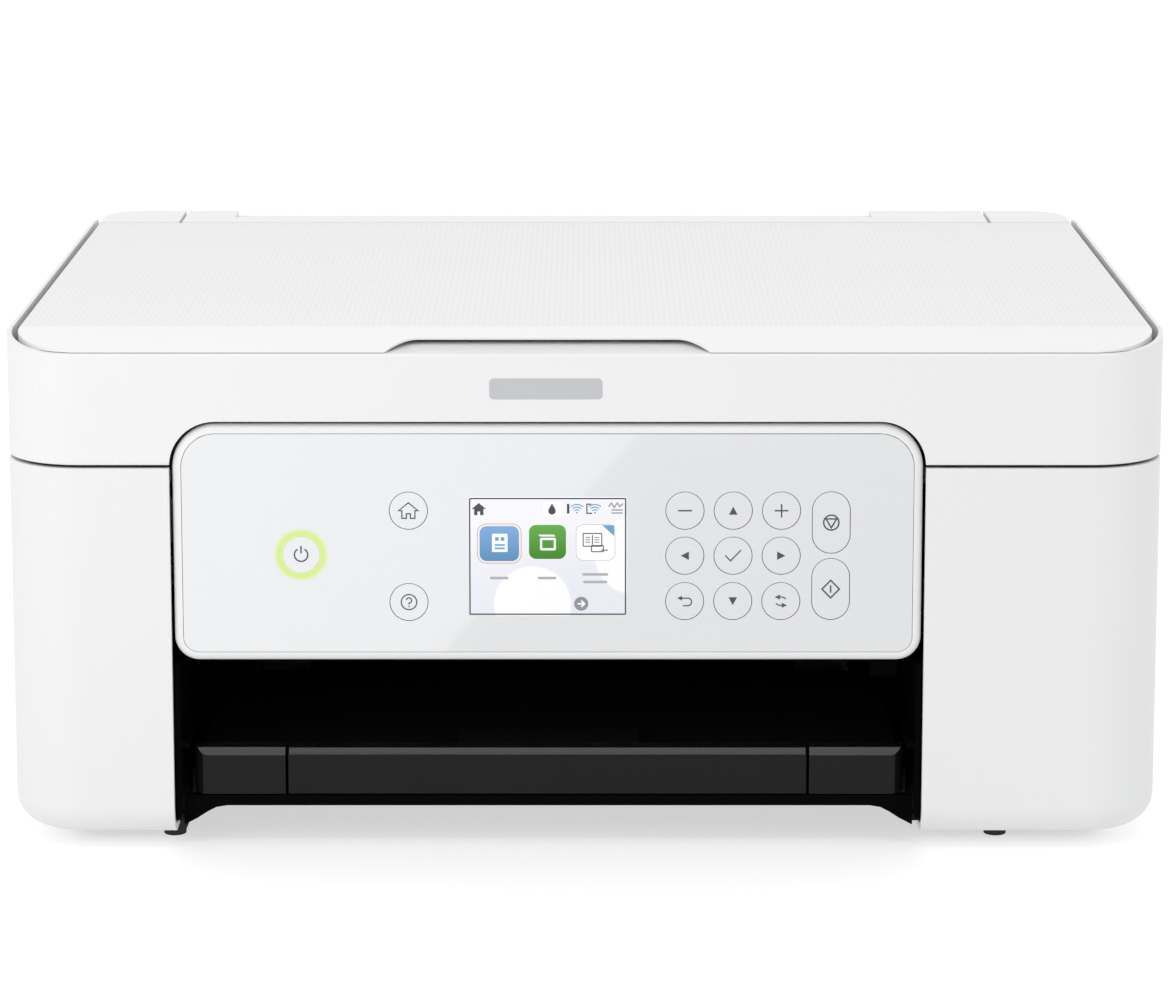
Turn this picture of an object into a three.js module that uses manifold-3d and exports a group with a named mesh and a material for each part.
// Inkjet all-in-one printer: flatbed scanner on top, tilting control panel, paper cassette and output
// tray at the front. Millimetres, +Z up, +X to the right, front face towards -Y.
// Origin: middle of the bounding box, on the surface that the feet stand on.

import * as THREE from 'three';
import { mergeVertices } from 'three/addons/utils/BufferGeometryUtils.js';
import Module from 'manifold-3d';

const wasm = await Module();
wasm.setup();

// ---------------------------------------------------------------- driving dimensions

const WIDTH = 375;
const DEPTH = 300;
const HEIGHT = 170;
const WALL = 2.5;
const GAP = 0.3; // least space between two separate pieces
const FAR = 500; // size of a cutting block that runs past everything

const LEFT = -WIDTH / 2;
const RIGHT = WIDTH / 2;
const FRONT = -DEPTH / 2;
const BACK = 137; // rear face of the casings; only the rear cover stands behind it
const REAR_LIMIT = DEPTH / 2;
const CORNER_FRONT = 25;
const CORNER_REAR = 12;
const BOTTOM_ROUND = 10;
const CORNER_STEPS = 4; // half the number of facets round a corner

const FOOT_HEIGHT = 5;
const CASING_TOP = 127.6;
const SCANNER_BOTTOM = 128.6;
const DECK = 122; // underside of the casing's top deck

const OPENING_LEFT = -133.4; // the front opening between the two pillars
const OPENING_RIGHT = 109.4;
const PAPER_CENTRE = (OPENING_LEFT + OPENING_RIGHT) / 2;
const PAPER_WIDTH = 210;

const PANEL_LEFT = OPENING_LEFT + 0.9;
const PANEL_RIGHT = OPENING_RIGHT - 0.9;
const PANEL_BOTTOM = 64.2;
const PANEL_TOP = 141.9;
const PANEL_BACK = -133;
const PANEL_TOP_ROUND = 14;
const PANEL_BOTTOM_ROUND = 8;
const PANEL_BORDER = 2.3; // white rim round the front plate
const PLATE_THICK = 2;
const NOTCH_TOP = 142.9; // top of the cut-out in the scanner housing that clears the panel

const BED = 160; // top of the scanner bed
const BED_UNDER = 153.5;
const LEDGE = 164.9; // front ledge that the lid closes on
const RIM_TOP = 169;
const STEP = 149.5; // lowered rear part of the scanner housing, under the lid's hinge
const STEP_FRONT = 116;
const GLASS = { x: 148.5, front: -118, back: 98, thick: 3 };

const LID_SIDE = WIDTH / 2 - 3.1;
const LID_FRONT = -149;
const LID_BACK = 136.5;
const LID_CORNER = 23.5;
const LID_SKIN = 2;
const LID_SKIRT = 161;
const LID_SLOPE = 26; // length of the slope along the lid's front
const LID_HINGE = { y: 131, z: 158 };
const HINGE_X = [-161, 161];

const BAR = { left: -127.5, right: 104, seamLeft: -97.3, seamRight: 72.7, y0: -142, y1: -134 };
const BAR_BOTTOM = 17.5;
const BAR_TOP = 32.9;
const CASSETTE = { left: -128, right: 104, back: 124, wallTop: 24, floor: 13.5, floorThick: 1.8 };

const BUTTON_R = 6.1;
const BUTTON_GAP = 0.35;
const BUTTON_DEEP = 4;
const PILL = { w: 12, h: 20 };
const LCD = { x0: -37.6, x1: 13.6, z0: 79.1, z1: 118.3 };

const CARRIAGE = { x0: 98, x1: 160, y0: -42, y1: 22, z0: 55, z1: 96 };
const CARTRIDGES = ['black', 'cyan', 'magenta', 'yellow'];
const PULLEY = { x: 145, z: 85, r: 6.2, y0: 30.3, y1: 35.7 };
const FEED = { y: 30, z: 48, r: 6 };
const EJECT = { y: -48, z: 46, r: 5 };
const PICKUP = { y: 70, z: 37, r: 10 };
const FEED_MOTOR = { y: 72, z: 62, r: 13 };
const SIDE_PLATE = 163; // inner face of each steel side plate, from the middle

// ---------------------------------------------------------------- geometry helpers

function box(x0, x1, y0, y1, z0, z1) {
  const geometry = new THREE.BoxGeometry(x1 - x0, y1 - y0, z1 - z0);
  return geometry.translate((x0 + x1) / 2, (y0 + y1) / 2, (z0 + z1) / 2);
}

// Rectangle with one corner radius along its low side and another along its high side.
function roundedRect(x0, x1, y0, y1, rLow, rHigh = rLow) {
  const shape = new THREE.Shape();
  shape.moveTo(x0 + rLow, y0);
  shape.lineTo(x1 - rLow, y0);
  shape.absarc(x1 - rLow, y0 + rLow, rLow, -Math.PI / 2, 0);
  shape.lineTo(x1, y1 - rHigh);
  shape.absarc(x1 - rHigh, y1 - rHigh, rHigh, 0, Math.PI / 2);
  shape.lineTo(x0 + rHigh, y1);
  shape.absarc(x0 + rHigh, y1 - rHigh, rHigh, Math.PI / 2, Math.PI);
  shape.lineTo(x0, y0 + rLow);
  shape.absarc(x0 + rLow, y0 + rLow, rLow, Math.PI, 1.5 * Math.PI);
  return shape;
}

function polygon(points) {
  return new THREE.Shape(points.map(([a, b]) => new THREE.Vector2(a, b)));
}

// Outline drawn in X and Y, raised from z0 to z1, with both ends rounded over by `edge`.
function slab(shape, z0, z1, edge = 0, edgeSteps = 3, curveSegments = CORNER_STEPS) {
  const geometry = new THREE.ExtrudeGeometry(shape, {
    depth: z1 - z0 - 2 * edge,
    bevelEnabled: edge > 0,
    bevelThickness: edge,
    bevelSize: edge,
    bevelOffset: -edge,
    bevelSegments: edgeSteps,
    curveSegments,
  });
  return geometry.translate(0, 0, z0 + edge);
}

// Outline drawn in X and Z, running from y0 to y1.
function upright(shape, y0, y1, edge = 0, edgeSteps = 2, curveSegments = CORNER_STEPS) {
  const geometry = slab(shape, 0, y1 - y0, edge, edgeSteps, curveSegments);
  return geometry.rotateX(Math.PI / 2).translate(0, y1, 0);
}

// Outline drawn in Y and Z, running from x0 to x1.
function lengthwise(shape, x0, x1) {
  const geometry = slab(shape, 0, x1 - x0);
  return geometry.rotateX(Math.PI / 2).rotateZ(Math.PI / 2).translate(x0, 0, 0);
}

function rodX(r, x0, x1, y, z, steps = 16) {
  const geometry = new THREE.CylinderGeometry(r, r, x1 - x0, steps);
  return geometry.rotateZ(Math.PI / 2).translate((x0 + x1) / 2, y, z);
}

function rodY(r, y0, y1, x, z, steps = 16) {
  const geometry = new THREE.CylinderGeometry(r, r, y1 - y0, steps);
  return geometry.translate(x, (y0 + y1) / 2, z);
}

// Turned piece on an axis along X: pairs of distance along the axis and radius.
function turnedX(profile, steps) {
  const points = profile.map(([along, r]) => new THREE.Vector2(r, along));
  const first = new THREE.Vector2(0, profile[0][0]);
  const last = new THREE.Vector2(0, profile[profile.length - 1][0]);
  const geometry = new THREE.LatheGeometry([first, ...points, last], steps);
  return geometry.rotateZ(-Math.PI / 2);
}

function toSolid(geometry) {
  const plain = geometry.clone();
  plain.deleteAttribute('normal');
  plain.deleteAttribute('uv');
  const merged = mergeVertices(plain, 1e-4);
  const mesh = new wasm.Mesh({
    numProp: 3,
    vertProperties: new Float32Array(merged.attributes.position.array),
    triVerts: new Uint32Array(merged.index.array),
  });
  return new wasm.Manifold(mesh);
}

function toGeometry(solid) {
  const mesh = solid.getMesh();
  const geometry = new THREE.BufferGeometry();
  geometry.setAttribute('position', new THREE.BufferAttribute(mesh.vertProperties, 3));
  geometry.setIndex(new THREE.BufferAttribute(mesh.triVerts, 1));
  geometry.computeVertexNormals();
  return geometry;
}

function join(...geometries) {
  return toGeometry(geometries.map(toSolid).reduce((all, next) => all.add(next)));
}

function cut(geometry, ...tools) {
  return toGeometry(tools.map(toSolid).reduce((rest, tool) => rest.subtract(tool), toSolid(geometry)));
}

function overlap(geometry, other) {
  return toGeometry(toSolid(geometry).intersect(toSolid(other)));
}

// ---------------------------------------------------------------- finishes

function finish(color, roughness, metalness = 0) {
  return () => new THREE.MeshStandardMaterial({ color, roughness, metalness });
}

const whitePlastic = finish(0xf1f2f3, 0.5);
const glossWhite = finish(0xeef0f3, 0.12);
const blackPlastic = finish(0x161617, 0.55);
const greyBlack = finish(0x2a2a2c, 0.35);
const greyPlastic = finish(0x8b8d90, 0.5);
const paleFoam = finish(0xf7f7f5, 0.9);
const steel = finish(0xb9bcc0, 0.35, 1);
const rubber = finish(0x1c1c1c, 0.85);
const circuitGreen = finish(0x1d6b3c, 0.5);
const clearGlass = finish(0xcfdfe0, 0.05);
const screenWhite = finish(0xf6f7fb, 0.15);
const beltBlack = finish(0x202022, 0.7);
const feltGrey = finish(0xd8d6cf, 0.95);
const inkColours = {
  black: finish(0x1a1a1c, 0.4),
  cyan: finish(0x1f9ad6, 0.4),
  magenta: finish(0xc73a86, 0.4),
  yellow: finish(0xe6c62e, 0.4),
};

function piece(parent, name, geometry, material, position = [0, 0, 0]) {
  const mesh = new THREE.Mesh(geometry, material());
  mesh.name = name;
  mesh.position.set(...position);
  parent.add(mesh);
}

function assembly(parent) {
  const group = new THREE.Group();
  parent.add(group);
  return group;
}

// ---------------------------------------------------------------- lower casing, pan and feet

// The casing's outline, drawn in from its outer faces by `inset`.
function casingOutline(inset) {
  const front = Math.max(CORNER_FRONT - inset, 2);
  const rear = Math.max(CORNER_REAR - inset, 2);
  return roundedRect(LEFT + inset, RIGHT - inset, FRONT + inset, BACK - inset, front, rear);
}

// Solid that fills the outline, rounded only where it meets the bottom.
function bowl(inset, z0, z1, edge) {
  const whole = slab(casingOutline(inset), z0, z1 + edge, edge);
  return cut(whole, box(-FAR, FAR, -FAR, FAR, z1, z1 + FAR));
}

const REAR_HINGE = { y: 146, z: 49, r: 1.8, lug: 4.8 };
const INLET = { x0: -162, x1: -138, z0: 22, z1: 42, y0: 122 };
const USB = { x0: 163.6, x1: 175.4, z0: 50, z1: 61.6, y0: 123 };

function lowerCasing() {
  const floorTop = FOOT_HEIGHT + WALL;
  const lip = 18;
  const deckThick = 2.6;
  const paperSlot = { x0: -125, x1: 100, z0: 60, z1: 118 };
  const shell = cut(
    bowl(0, FOOT_HEIGHT, CASING_TOP, BOTTOM_ROUND),
    bowl(WALL, floorTop, DECK, BOTTOM_ROUND - WALL),
    slab(casingOutline(WALL), DECK + deckThick, CASING_TOP + 10),
    slab(roundedRect(-168, 168, -120, 55, 10), DECK - 5, CASING_TOP + 10),
    slab(casingOutline(lip), 0, floorTop + 1),
    box(OPENING_LEFT, OPENING_RIGHT, -FAR, -120, 0, FAR),
    box(paperSlot.x0, paperSlot.x1, BACK - 8, FAR, paperSlot.z0, paperSlot.z1),
    box(INLET.x0, INLET.x1, BACK - 8, FAR, INLET.z0, INLET.z1),
    box(USB.x0, USB.x1, BACK - 8, FAR, USB.z0, USB.z1),
  );
  const lug = (x0, x1) => cut(
    box(x0, x1, BACK - 1, REAR_LIMIT - 0.5, 44, 54),
    rodX(REAR_HINGE.r + 0.4, x0 - 1, x1 + 1, REAR_HINGE.y, REAR_HINGE.z, 12),
  );
  return join(
    shell,
    lug(PANEL_LEFT - 0.7 - REAR_HINGE.lug, PANEL_LEFT - 0.7),
    lug(PANEL_RIGHT + 0.7, PANEL_RIGHT + 0.7 + REAR_HINGE.lug),
  );
}

function basePan() {
  const panBottom = FOOT_HEIGHT + WALL + GAP;
  const panTop = panBottom + WALL;
  const recessBack = -112;
  const rib = (x0) => box(x0, x0 + 2, recessBack, 120, panBottom, 18);
  const plate = cut(
    slab(casingOutline(BOTTOM_ROUND + 0.5), panBottom, panTop),
    box(CASSETTE.left - 3, CASSETTE.right + 3, -FAR, recessBack, 0, FAR),
  );
  return join(plate, rib(CASSETTE.left - 3), rib(CASSETTE.right + 1));
}

function foot() {
  const top = FOOT_HEIGHT + WALL;
  const profile = [[0, 0], [3.7, 0], [3.7, 1.2], [4.6, 3.4], [4.6, top], [0, top]];
  const points = profile.map(([r, z]) => new THREE.Vector2(r, z));
  return new THREE.LatheGeometry(points, 20).rotateX(Math.PI / 2);
}

function openingLiner() {
  const front = FRONT + WALL + GAP;
  const back = -62;
  const wallTop = 62.5;
  const thick = 1.7;
  const outerLeft = OPENING_LEFT + GAP;
  const outerRight = OPENING_RIGHT - GAP;
  const panBottom = FOOT_HEIGHT + 2 * WALL + 2 * GAP;
  const ceiling = { y0: -126, z0: 58.5, z1: 60.5 };
  const ledge = { z0: 34.2, z1: 36, out: 3 };
  return join(
    box(outerLeft, outerLeft + thick, front, back, panBottom, wallTop),
    box(outerRight - thick, outerRight, front, back, panBottom, wallTop),
    box(outerLeft + 1, outerLeft + thick + ledge.out, front + 1, back, ledge.z0, ledge.z1),
    box(outerRight - thick - ledge.out, outerRight - 1, front + 1, back, ledge.z0, ledge.z1),
    box(outerLeft + 1, outerRight - 1, ceiling.y0, back, ceiling.z0, ceiling.z1),
    box(outerLeft + 1, outerRight - 1, ceiling.y0 - 2, ceiling.y0, ceiling.z0, DECK - 2),
  );
}

// ---------------------------------------------------------------- print mechanism

function chassisFrame() {
  const thick = 2;
  const bottom = 28;
  const top = 118;
  const plateY = { y0: -60, y1: 92 };
  const back = { y0: 42, y1: 44, z0: 60 };
  const side = (x0) => box(x0, x0 + thick, plateY.y0, plateY.y1, bottom, top);
  const bore = (r, y, z) => rodX(r, -FAR / 2, FAR / 2, y, z);
  const body = join(
    side(-SIDE_PLATE - thick),
    side(SIDE_PLATE),
    box(-SIDE_PLATE - 1, SIDE_PLATE + 1, back.y0, back.y1, back.z0, top),
    box(-SIDE_PLATE - 1, SIDE_PLATE + 1, FEED.y, back.y1, top - thick, top),
    rodY(1.6, PULLEY.y0 - 0.8, back.y0 + 1, -PULLEY.x, PULLEY.z, 12),
  );
  return cut(
    body,
    bore(4.5, FEED.y, FEED.z),
    bore(3.5, EJECT.y, EJECT.z),
    bore(3.5, PICKUP.y, PICKUP.z),
    rodX(3, -SIDE_PLATE - 5, -SIDE_PLATE + 5, FEED_MOTOR.y, FEED_MOTOR.z),
    rodY(3, back.y0 - 1, back.y1 + 1, PULLEY.x, PULLEY.z, 12),
  );
}

function platen() {
  const x0 = -120;
  const x1 = 96;
  const ribPitch = 24;
  const ribs = [];
  for (let x = x0 + 8; x < x1 - 4; x += ribPitch) {
    ribs.push(box(x, x + 2, -35, 19, 47, 49.4));
  }
  return join(box(x0, x1, -36, 20, 44, 48), ...ribs);
}

function carriageMotor() {
  return join(
    rodY(14, 44.4, 72, PULLEY.x, PULLEY.z, 20),
    rodY(1.6, PULLEY.y0 - 0.8, 45, PULLEY.x, PULLEY.z, 12),
  );
}

function feedMotor() {
  const { y, z, r } = FEED_MOTOR;
  return join(
    rodX(r, -SIDE_PLATE + 0.4, -SIDE_PLATE + 28, y, z, 20),
    rodX(1.6, -SIDE_PLATE - 7, -SIDE_PLATE + 1, y, z, 12),
    rodX(4.5, -SIDE_PLATE - 12, -SIDE_PLATE - 6, y, z, 14),
  );
}

function timingBelt() {
  const outer = PULLEY.r + 1.6;
  const inner = PULLEY.r + 0.4;
  const loop = (r) => roundedRect(-PULLEY.x - r, PULLEY.x + r, PULLEY.z - r, PULLEY.z + r, r);
  const shape = loop(outer);
  shape.holes.push(loop(inner));
  return upright(shape, PULLEY.y0 - 0.3, PULLEY.y1 + 0.3, 0, 1, 3);
}

function pulley() {
  const width = PULLEY.y1 - PULLEY.y0;
  const bore = 2;
  const profile = [[bore, 0], [PULLEY.r, 0], [PULLEY.r, width], [bore, width], [bore, 0]];
  const points = profile.map(([r, along]) => new THREE.Vector2(r, along));
  return new THREE.LatheGeometry(points, 20);
}

function printCarriage() {
  const { x0, x1, y0, y1, z0, z1 } = CARRIAGE;
  const wall = 2.5;
  const tray = cut(
    box(x0, x1, y0, y1, z0, z1),
    box(x0 + wall, x1 - wall, y0 + wall, y1 - wall, z0 + 9, z1 + 10),
  );
  const nozzleHead = box(x0 + 10, x1 - 10, y0 + 14, y1 - 14, z0 - 4.5, z0 + 1);
  const beltClamp = box(x0 + 20, x0 + 42, y1 - 1, PULLEY.y0 - 0.9, 70, 76);
  return join(tray, nozzleHead, beltClamp);
}

function cartridge(width) {
  const outline = polygon([[-28.5, 0], [28.5, 0], [28.5, 44], [22, 47.5], [-20, 47.5], [-28.5, 40]]);
  return lengthwise(outline, 0, width);
}

function cappingStation() {
  const caps = [];
  for (let i = 0; i < CARTRIDGES.length; i += 1) {
    const x0 = CARRIAGE.x0 + 12 + i * 10;
    caps.push(box(x0, x0 + 8, -26, 6, 46, 49.6));
  }
  return join(box(CARRIAGE.x0 + 2, CARRIAGE.x1 - 2, -38, 18, 30, 47), ...caps);
}

function roller(parent, name, spec, shaftR, bodyHalf, endHalf, material, gear = null) {
  const profile = [[-endHalf, shaftR], [-bodyHalf, shaftR], [-bodyHalf, spec.r]];
  profile.push([bodyHalf, spec.r], [bodyHalf, shaftR], [endHalf, shaftR]);
  if (gear) {
    profile.unshift([-endHalf - gear.w, gear.r], [-endHalf, gear.r]);
  }
  piece(parent, name, turnedX(profile, 20), material, [spec.centre ?? 0, spec.y, spec.z]);
}

// ---------------------------------------------------------------- electronics

function powerInlet() {
  const inset = 0.4;
  const y1 = BACK + 0.2;
  const midX = (INLET.x0 + INLET.x1) / 2;
  const midZ = (INLET.z0 + INLET.z1) / 2;
  const body = box(INLET.x0 + inset, INLET.x1 - inset, INLET.y0, y1, INLET.z0 + inset, INLET.z1 - inset);
  const socket = upright(roundedRect(midX - 8, midX + 8, midZ - 4, midZ + 4, 3.8), y1 - 12, y1 + 2);
  const pins = [-5, 5].map((offset) => rodY(1.1, y1 - 13, y1 - 2, midX + offset, midZ, 10));
  return join(cut(body, socket), ...pins);
}

function usbPort() {
  const inset = 0.4;
  const y1 = BACK + 0.2;
  const wall = 1.2;
  return cut(
    box(USB.x0 + inset, USB.x1 - inset, USB.y0, y1, USB.z0 + inset, USB.z1 - inset),
    box(
      USB.x0 + inset + wall, USB.x1 - inset - wall, y1 - 9, y1 + 2,
      USB.z0 + inset + wall, USB.z1 - inset - wall,
    ),
  );
}

function mainBoard() {
  return join(
    box(176, 177.6, -60, 126, 35, 115),
    box(172.5, 176.5, 10, 50, 60, 95),
    box(172.5, 176.5, 70, 96, 66, 88),
  );
}

// ---------------------------------------------------------------- scanner unit and lid

function scannerOutline(inset, back = BACK - inset) {
  return roundedRect(LEFT + inset, RIGHT - inset, FRONT + inset, back, CORNER_FRONT - inset, 2);
}

// Block above the slope that runs up the lid's front, starting at height z0 and ending at z1.
function slopeCutter(z0, z1, yStart) {
  const outline = [[yStart - 20, z0], [yStart, z0], [yStart + LID_SLOPE, z1]];
  outline.push([yStart + LID_SLOPE, HEIGHT + 30], [yStart - 20, HEIGHT + 30]);
  return lengthwise(polygon(outline), -FAR / 2, FAR / 2);
}

function scannerFrame() {
  const rimInner = LID_SIDE + 1.5;
  const lidRecess = roundedRect(-rimInner, rimInner, FRONT - 1, BACK + 40, LID_CORNER, 2);
  const deepRecess = cut(slab(lidRecess, BED, FAR), box(-FAR, FAR, -FAR, -140, 0, FAR + 1));
  const notch = roundedRect(OPENING_LEFT, OPENING_RIGHT, 0, NOTCH_TOP, 2, PANEL_TOP_ROUND + 0.9);
  const pocket = { x0: OPENING_LEFT - 2.6, x1: OPENING_RIGHT + 2.6, back: -125.5, top: 144.6 };
  const glassLedge = 4.5;
  const shell = cut(
    slab(casingOutline(0), SCANNER_BOTTOM, RIM_TOP),
    slab(scannerOutline(WALL, STEP_FRONT - 4), 0, BED_UNDER),
    slab(roundedRect(LEFT + WALL, RIGHT - WALL, 90, BACK - WALL, 2, CORNER_REAR - WALL), 0, STEP - WALL),
    slab(lidRecess, LEDGE, FAR),
    deepRecess,
    box(-rimInner, rimInner, STEP_FRONT, FAR, STEP, FAR),
    box(-FAR, FAR, BACK - CORNER_REAR - 1, FAR, STEP, FAR),
    slopeCutter(LEDGE + 0.2, RIM_TOP, FRONT),
    box(-GLASS.x - GAP, GLASS.x + GAP, GLASS.front - GAP, GLASS.back + GAP, BED - 3.7, FAR),
    box(
      -GLASS.x + glassLedge, GLASS.x - glassLedge, GLASS.front + glassLedge, GLASS.back - glassLedge,
      BED_UNDER - 5, FAR,
    ),
  );
  const housed = join(
    shell,
    box(pocket.x0, pocket.x1, pocket.back, pocket.back + 2, SCANNER_BOTTOM + 3.3, BED_UNDER + 1),
    box(pocket.x0, pocket.x1, FRONT + 1, pocket.back + 1, pocket.top, pocket.top + 2),
  );
  const hinges = HINGE_X.flatMap((x) => [
    box(x - 3, x + 3, LID_HINGE.y - 4, LID_HINGE.y + 3, STEP - 1, LID_HINGE.z + 2.5),
    rodX(2.5, x - 8, x + 8, LID_HINGE.y, LID_HINGE.z, 14),
  ]);
  return join(cut(housed, upright(notch, -FAR, pocket.back)), ...hinges);
}

function scannerBase() {
  const z0 = SCANNER_BOTTOM + 0.2;
  const z1 = z0 + 2.5;
  const outline = roundedRect(
    LEFT + WALL + 0.4, RIGHT - WALL - 0.4, FRONT + WALL + 0.4, BACK - WALL - 0.4, 22, 9,
  );
  const plate = cut(
    slab(outline, z0, z1),
    box(OPENING_LEFT - 3, OPENING_RIGHT + 3, -FAR, -125, 0, FAR),
  );
  const railPost = (x0) => box(x0, x0 + 4, -16, -4, z1 - 1, 144);
  return join(plate, railPost(-180.5), railPost(176.5));
}

function lidCover() {
  const outline = roundedRect(-LID_SIDE, LID_SIDE, LID_FRONT, LID_BACK, LID_CORNER, CORNER_REAR - 2);
  const inner = (front, back, r) => roundedRect(
    -LID_SIDE + LID_SKIN, LID_SIDE - LID_SKIN, front, back, r, CORNER_REAR - 4,
  );
  const rearSkirt = overlap(
    slab(outline, STEP + 2.5, LID_SKIRT + 1),
    box(-FAR, FAR, STEP_FRONT + 2, FAR, 0, FAR),
  );
  const plateTop = HEIGHT - LID_SKIN;
  const ledgeBack = -139.5;
  const notchSide = (side) => [
    [side * 53, FRONT - 10], [side * 52, LID_FRONT], [side * 48, -142.5], [side * 41.5, LID_FRONT + 10],
  ];
  const notchOutline = [...notchSide(1), ...notchSide(-1).reverse()];
  const fingerNotch = polygon(notchOutline.map(([x, y]) => [PAPER_CENTRE + x, y]));
  const postSlots = HINGE_X.map((x) => box(
    x - 3.6, x + 3.6, LID_BACK - LID_SKIN - 1, FAR, 0, LID_HINGE.z + 3.5,
  ));
  const shell = cut(
    join(slab(outline, LID_SKIRT, HEIGHT), rearSkirt),
    slab(inner(-122, 115, 10), 0, plateTop),
    slab(inner(100, LID_BACK - LID_SKIN, 2), 0, plateTop - 2),
    box(-170, 170, -136, -121, 0, LEDGE + 1),
    box(-FAR, FAR, -FAR, ledgeBack, 0, LEDGE + 0.4),
    slopeCutter(LEDGE + 1.1, HEIGHT, LID_FRONT),
    slab(fingerNotch, 0, FAR),
    box(OPENING_LEFT, OPENING_RIGHT, STEP_FRONT + 2, FAR, plateTop, FAR),
    ...postSlots,
  );
  const knuckle = (x0) => cut(
    box(x0, x0 + 2.4, LID_HINGE.y - 5, LID_BACK - 1, LID_HINGE.z - 5, plateTop - 1),
    rodX(2.9, x0 - 1, x0 + 4, LID_HINGE.y, LID_HINGE.z, 14),
  );
  return join(shell, ...HINGE_X.flatMap((x) => [knuckle(x - 6.6), knuckle(x + 4.2)]));
}

// ---------------------------------------------------------------- control panel

const KEYPAD_X = [32.1, 47.6, 63.1];
const KEYPAD_Z = [113.8, 99, 84];
const KEYPAD_NAMES = [
  ['minus', 'up', 'plus'],
  ['left', 'ok', 'right'],
  ['back', 'down', 'swap'],
];

function roundButtons() {
  const buttons = [
    { name: 'power', x: -91.3, z: 99.3 },
    { name: 'home', x: -56.7, z: 113.8 },
    { name: 'help', x: -56.7, z: 83.7 },
  ];
  KEYPAD_NAMES.forEach((row, i) => {
    row.forEach((name, j) => buttons.push({ name, x: KEYPAD_X[j], z: KEYPAD_Z[i] }));
  });
  return buttons;
}

const PILL_BUTTONS = [
  { name: 'stop', x: 79.1, z: 109.9 },
  { name: 'start', x: 79.1, z: 88 },
];

function panelOutline(inset) {
  return roundedRect(
    PANEL_LEFT + inset, PANEL_RIGHT - inset, PANEL_BOTTOM + inset, PANEL_TOP - inset,
    PANEL_BOTTOM_ROUND - inset, PANEL_TOP_ROUND - inset,
  );
}

function pillOutline(x, z, grow) {
  const w = PILL.w / 2 + grow;
  const h = PILL.h / 2 + grow;
  return roundedRect(x - w, x + w, z - h, z + h, w - 0.01);
}

function circle(x, z, r) {
  return roundedRect(x - r, x + r, z - r, z + r, r - 0.001);
}

function panelHousing() {
  const seat = PANEL_BORDER - 0.2;
  const floor = FRONT + PLATE_THICK + 0.3;
  return cut(
    upright(panelOutline(0), FRONT, PANEL_BACK, 2.2),
    upright(panelOutline(seat), FRONT - 5, floor),
    upright(panelOutline(seat + 3), FRONT - 5, PANEL_BACK - 2),
  );
}

function panelPlate() {
  const shape = panelOutline(PANEL_BORDER + 0.1);
  roundButtons().forEach(({ x, z }) => shape.holes.push(circle(x, z, BUTTON_R + BUTTON_GAP)));
  PILL_BUTTONS.forEach(({ x, z }) => shape.holes.push(pillOutline(x, z, BUTTON_GAP)));
  shape.holes.push(roundedRect(LCD.x0, LCD.x1, LCD.z0, LCD.z1, 0.6));
  return upright(shape, FRONT + 0.1, FRONT + 0.1 + PLATE_THICK, 0, 1, 2);
}

function lcdScreen() {
  const glass = box(LCD.x0 + GAP, LCD.x1 - GAP, FRONT + 0.3, -146, LCD.z0 + GAP, LCD.z1 - GAP);
  return join(glass, box(LCD.x0 - 3, LCD.x1 + 3, -147, -143.5, LCD.z0 - 3, LCD.z1 + 3));
}

// ---------------------------------------------------------------- paper handling

function barProfile() {
  const bevel = 1.8;
  return polygon([
    [BAR.y0, BAR_BOTTOM], [BAR.y1, BAR_BOTTOM], [BAR.y1, BAR_TOP],
    [BAR.y0 + 2 * bevel, BAR_TOP], [BAR.y0, BAR_TOP - bevel],
  ]);
}

function cassetteFront() {
  const left = CASSETTE.left - 3;
  const right = CASSETTE.right + 3;
  const foot = 7;
  const arch = 13.5;
  const run = 14;
  const shape = new THREE.Shape();
  shape.moveTo(left, foot);
  shape.bezierCurveTo(left + run * 0.5, foot + 3, left + run * 0.6, arch, left + run, arch);
  shape.lineTo(right - run, arch);
  shape.bezierCurveTo(right - run * 0.6, arch, right - run * 0.5, foot + 3, right, foot);
  shape.lineTo(right, BAR_BOTTOM - 0.5);
  shape.lineTo(left, BAR_BOTTOM - 0.5);
  return upright(shape, BAR.y0 + 0.5, BAR.y0 + 3.5);
}

function paperCassette() {
  const { left, right, back, wallTop, floor, floorThick } = CASSETTE;
  const sideFront = BAR.y1 + 3;
  const wall = 2;
  return join(
    cassetteFront(),
    box(left + 1, right - 1, BAR.y0 + 1, back, floor, floor + floorThick),
    box(left, left + wall, sideFront, back, 10.8, wallTop),
    box(right - wall, right, sideFront, back, 10.8, wallTop),
    box(left, right, back - wall, back, floor, wallTop - 2),
  );
}

// Side stop for the paper: a low foot with an upright wall on its outer side.
function edgeGuide(side) {
  const z0 = CASSETTE.floor + CASSETTE.floorThick + GAP;
  const wall = 1.5;
  const reach = 18;
  const outline = polygon([
    [0, z0], [side * reach, z0], [side * reach, z0 + 1.2],
    [side * wall, z0 + 1.2], [side * wall, CASSETTE.wallTop - 0.6], [0, CASSETTE.wallTop - 0.6],
  ]);
  return upright(outline, -60, 60);
}

function outputTray() {
  const plate = { x0: -126.5, x1: 103, y1: -20, z0: 26.2, z1: 27.7 };
  return join(
    lengthwise(barProfile(), BAR.left, BAR.seamLeft - 0.25),
    lengthwise(barProfile(), BAR.seamRight + 0.25, BAR.right),
    box(plate.x0, plate.x1, BAR.y1 + 1, plate.y1, plate.z0, plate.z1),
    box(plate.x0, BAR.seamLeft - 1, BAR.y1 - 1, BAR.y1 + 2, plate.z0, plate.z1),
    box(BAR.seamRight + 1, plate.x1, BAR.y1 - 1, BAR.y1 + 2, plate.z0, plate.z1),
  );
}

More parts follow.
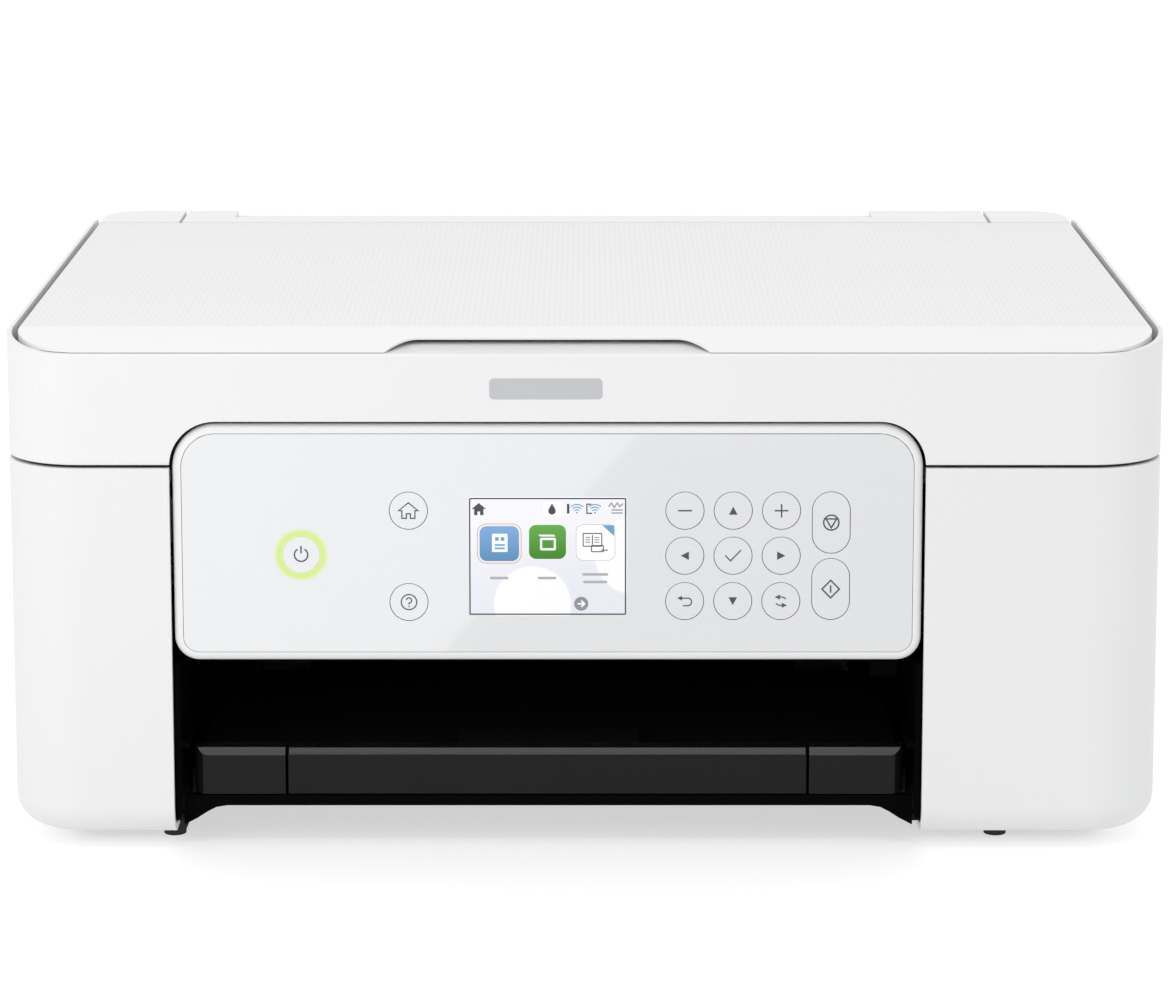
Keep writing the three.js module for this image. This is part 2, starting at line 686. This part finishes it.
function trayExtension() {
  const plate = { inset: 2.5, y1: -30, z0: 24.4, z1: 25.8 };
  return join(
    lengthwise(barProfile(), BAR.seamLeft + 0.25, BAR.seamRight - 0.25),
    box(
      BAR.seamLeft + plate.inset, BAR.seamRight - plate.inset, BAR.y1 - 1, plate.y1,
      plate.z0, plate.z1,
    ),
  );
}

function paperStopper() {
  const halfWidth = 30;
  const outline = [[-132.6, 28.6], [-108, 28.6], [-106, 29.6], [-108, 30.6], [-132.6, 30.6]];
  return lengthwise(polygon(outline), PAPER_CENTRE - halfWidth, PAPER_CENTRE + halfWidth);
}

function rearCover() {
  const z0 = 47.2;
  const z1 = 124;
  const y0 = BACK + 0.5;
  const outline = (inset) => roundedRect(
    PANEL_LEFT + inset, PANEL_RIGHT - inset, z0 + inset, z1 - inset, 5 - inset, 8 - inset,
  );
  const shell = cut(
    upright(outline(0), y0 - 6, REAR_LIMIT, 3.5, 3),
    box(-FAR, FAR, -FAR, y0, -FAR, FAR),
    upright(outline(WALL), 0, REAR_LIMIT - WALL),
  );
  const pinReach = 3.6;
  return join(
    shell,
    rodX(REAR_HINGE.r, PANEL_LEFT - pinReach, PANEL_LEFT + 3, REAR_HINGE.y, REAR_HINGE.z, 12),
    rodX(REAR_HINGE.r, PANEL_RIGHT - 3, PANEL_RIGHT + pinReach, REAR_HINGE.y, REAR_HINGE.z, 12),
  );
}

// ---------------------------------------------------------------- the assembly

const printer = new THREE.Group();

const base = assembly(printer);
piece(base, 'lower_casing', lowerCasing(), whitePlastic);
piece(base, 'base_pan', basePan(), blackPlastic);
piece(base, 'opening_liner', openingLiner(), blackPlastic);
const FEET = { front_left: [-1, -127], front_right: [1, -127], rear_left: [-1, 112], rear_right: [1, 112] };
Object.entries(FEET).forEach(([place, [side, y]]) => {
  piece(base, `foot_${place}`, foot(), rubber, [side * 135.5, y, 0]);
});
piece(base, 'power_supply', box(-178, -134, 95, 121, 12, 70), blackPlastic);
piece(base, 'power_inlet', powerInlet(), blackPlastic);
piece(base, 'main_board', mainBoard(), circuitGreen);
piece(base, 'usb_port', usbPort(), steel);
piece(base, 'waste_ink_pad', slab(roundedRect(111, 160, 96, 128, 4), 12, 45), feltGrey);

const mechanism = assembly(printer);
piece(mechanism, 'chassis_frame', chassisFrame(), steel);
piece(mechanism, 'platen', platen(), blackPlastic);
piece(mechanism, 'capping_station', cappingStation(), greyPlastic);
piece(mechanism, 'carriage_motor', carriageMotor(), steel);
piece(mechanism, 'feed_motor', feedMotor(), steel);
piece(mechanism, 'timing_belt', timingBelt(), beltBlack);
piece(mechanism, 'drive_pulley', pulley(), greyPlastic, [PULLEY.x, PULLEY.y0, PULLEY.z]);
piece(mechanism, 'idler_pulley', pulley(), greyPlastic, [-PULLEY.x, PULLEY.y0, PULLEY.z]);
roller(mechanism, 'feed_roller', FEED, 4, 158, 170, steel, { w: 6, r: 14 });
roller(mechanism, 'eject_roller', EJECT, 3, 156, 170, rubber);
roller(mechanism, 'pickup_roller', PICKUP, 3, 16, 170, rubber);

const carriage = assembly(printer);
piece(carriage, 'print_carriage', printCarriage(), blackPlastic);
const CARTRIDGE_WIDTH = 13.6;
CARTRIDGES.forEach((colour, i) => {
  const x = CARRIAGE.x0 + 2.9 + i * (CARTRIDGE_WIDTH + 0.6);
  const y = (CARRIAGE.y0 + CARRIAGE.y1) / 2;
  piece(carriage, `cartridge_${colour}`, cartridge(CARTRIDGE_WIDTH), inkColours[colour], [x, y, 64.5]);
});

const scanner = assembly(printer);
const glassSize = [-GLASS.x, GLASS.x, GLASS.front, GLASS.back, BED - GLASS.thick - 0.4, BED - 0.4];
piece(scanner, 'scanner_frame', scannerFrame(), whitePlastic);
piece(scanner, 'scanner_base', scannerBase(), greyPlastic);
piece(scanner, 'platen_glass', box(...glassSize), clearGlass);
piece(scanner, 'scan_rail', rodX(4, -176, 176, -10, 138), steel);
piece(scanner, 'scan_head', box(-168, -150, -116, 96, 142.6, 153), blackPlastic);
piece(scanner, 'lid_cover', lidCover(), whitePlastic);
piece(scanner, 'lid_pad', slab(roundedRect(-149, 149, -119, 99, 3), BED + GAP, HEIGHT - 2.4), paleFoam);

const panel = assembly(printer);
piece(panel, 'panel_housing', panelHousing(), whitePlastic);
piece(panel, 'panel_plate', panelPlate(), glossWhite);
piece(panel, 'panel_board', box(-100, 92, -142, -140.4, 76, 126), circuitGreen);
piece(panel, 'lcd_screen', lcdScreen(), screenWhite);
roundButtons().forEach(({ name, x, z }) => {
  const cap = rodY(BUTTON_R, FRONT + 0.1, FRONT + BUTTON_DEEP, 0, 0, 16);
  piece(panel, `button_${name}`, cap, glossWhite, [x, 0, z]);
});
PILL_BUTTONS.forEach(({ name, x, z }) => {
  const cap = upright(pillOutline(0, 0, 0), FRONT + 0.1, FRONT + BUTTON_DEEP, 0, 1, 2);
  piece(panel, `button_${name}`, cap, glossWhite, [x, 0, z]);
});

const paper = assembly(printer);
const guideLeft = PAPER_CENTRE - PAPER_WIDTH / 2 - 2;
const guideRight = PAPER_CENTRE + PAPER_WIDTH / 2 + 2;
piece(paper, 'paper_cassette', paperCassette(), blackPlastic);
piece(paper, 'edge_guide_left', edgeGuide(1), greyPlastic, [guideLeft, 0, 0]);
piece(paper, 'edge_guide_right', edgeGuide(-1), greyPlastic, [guideRight, 0, 0]);
piece(paper, 'output_tray', outputTray(), greyBlack);
piece(paper, 'tray_extension', trayExtension(), greyBlack);
piece(paper, 'paper_stopper', paperStopper(), greyBlack);
piece(paper, 'rear_cover', rearCover(), whitePlastic);

export default printer;
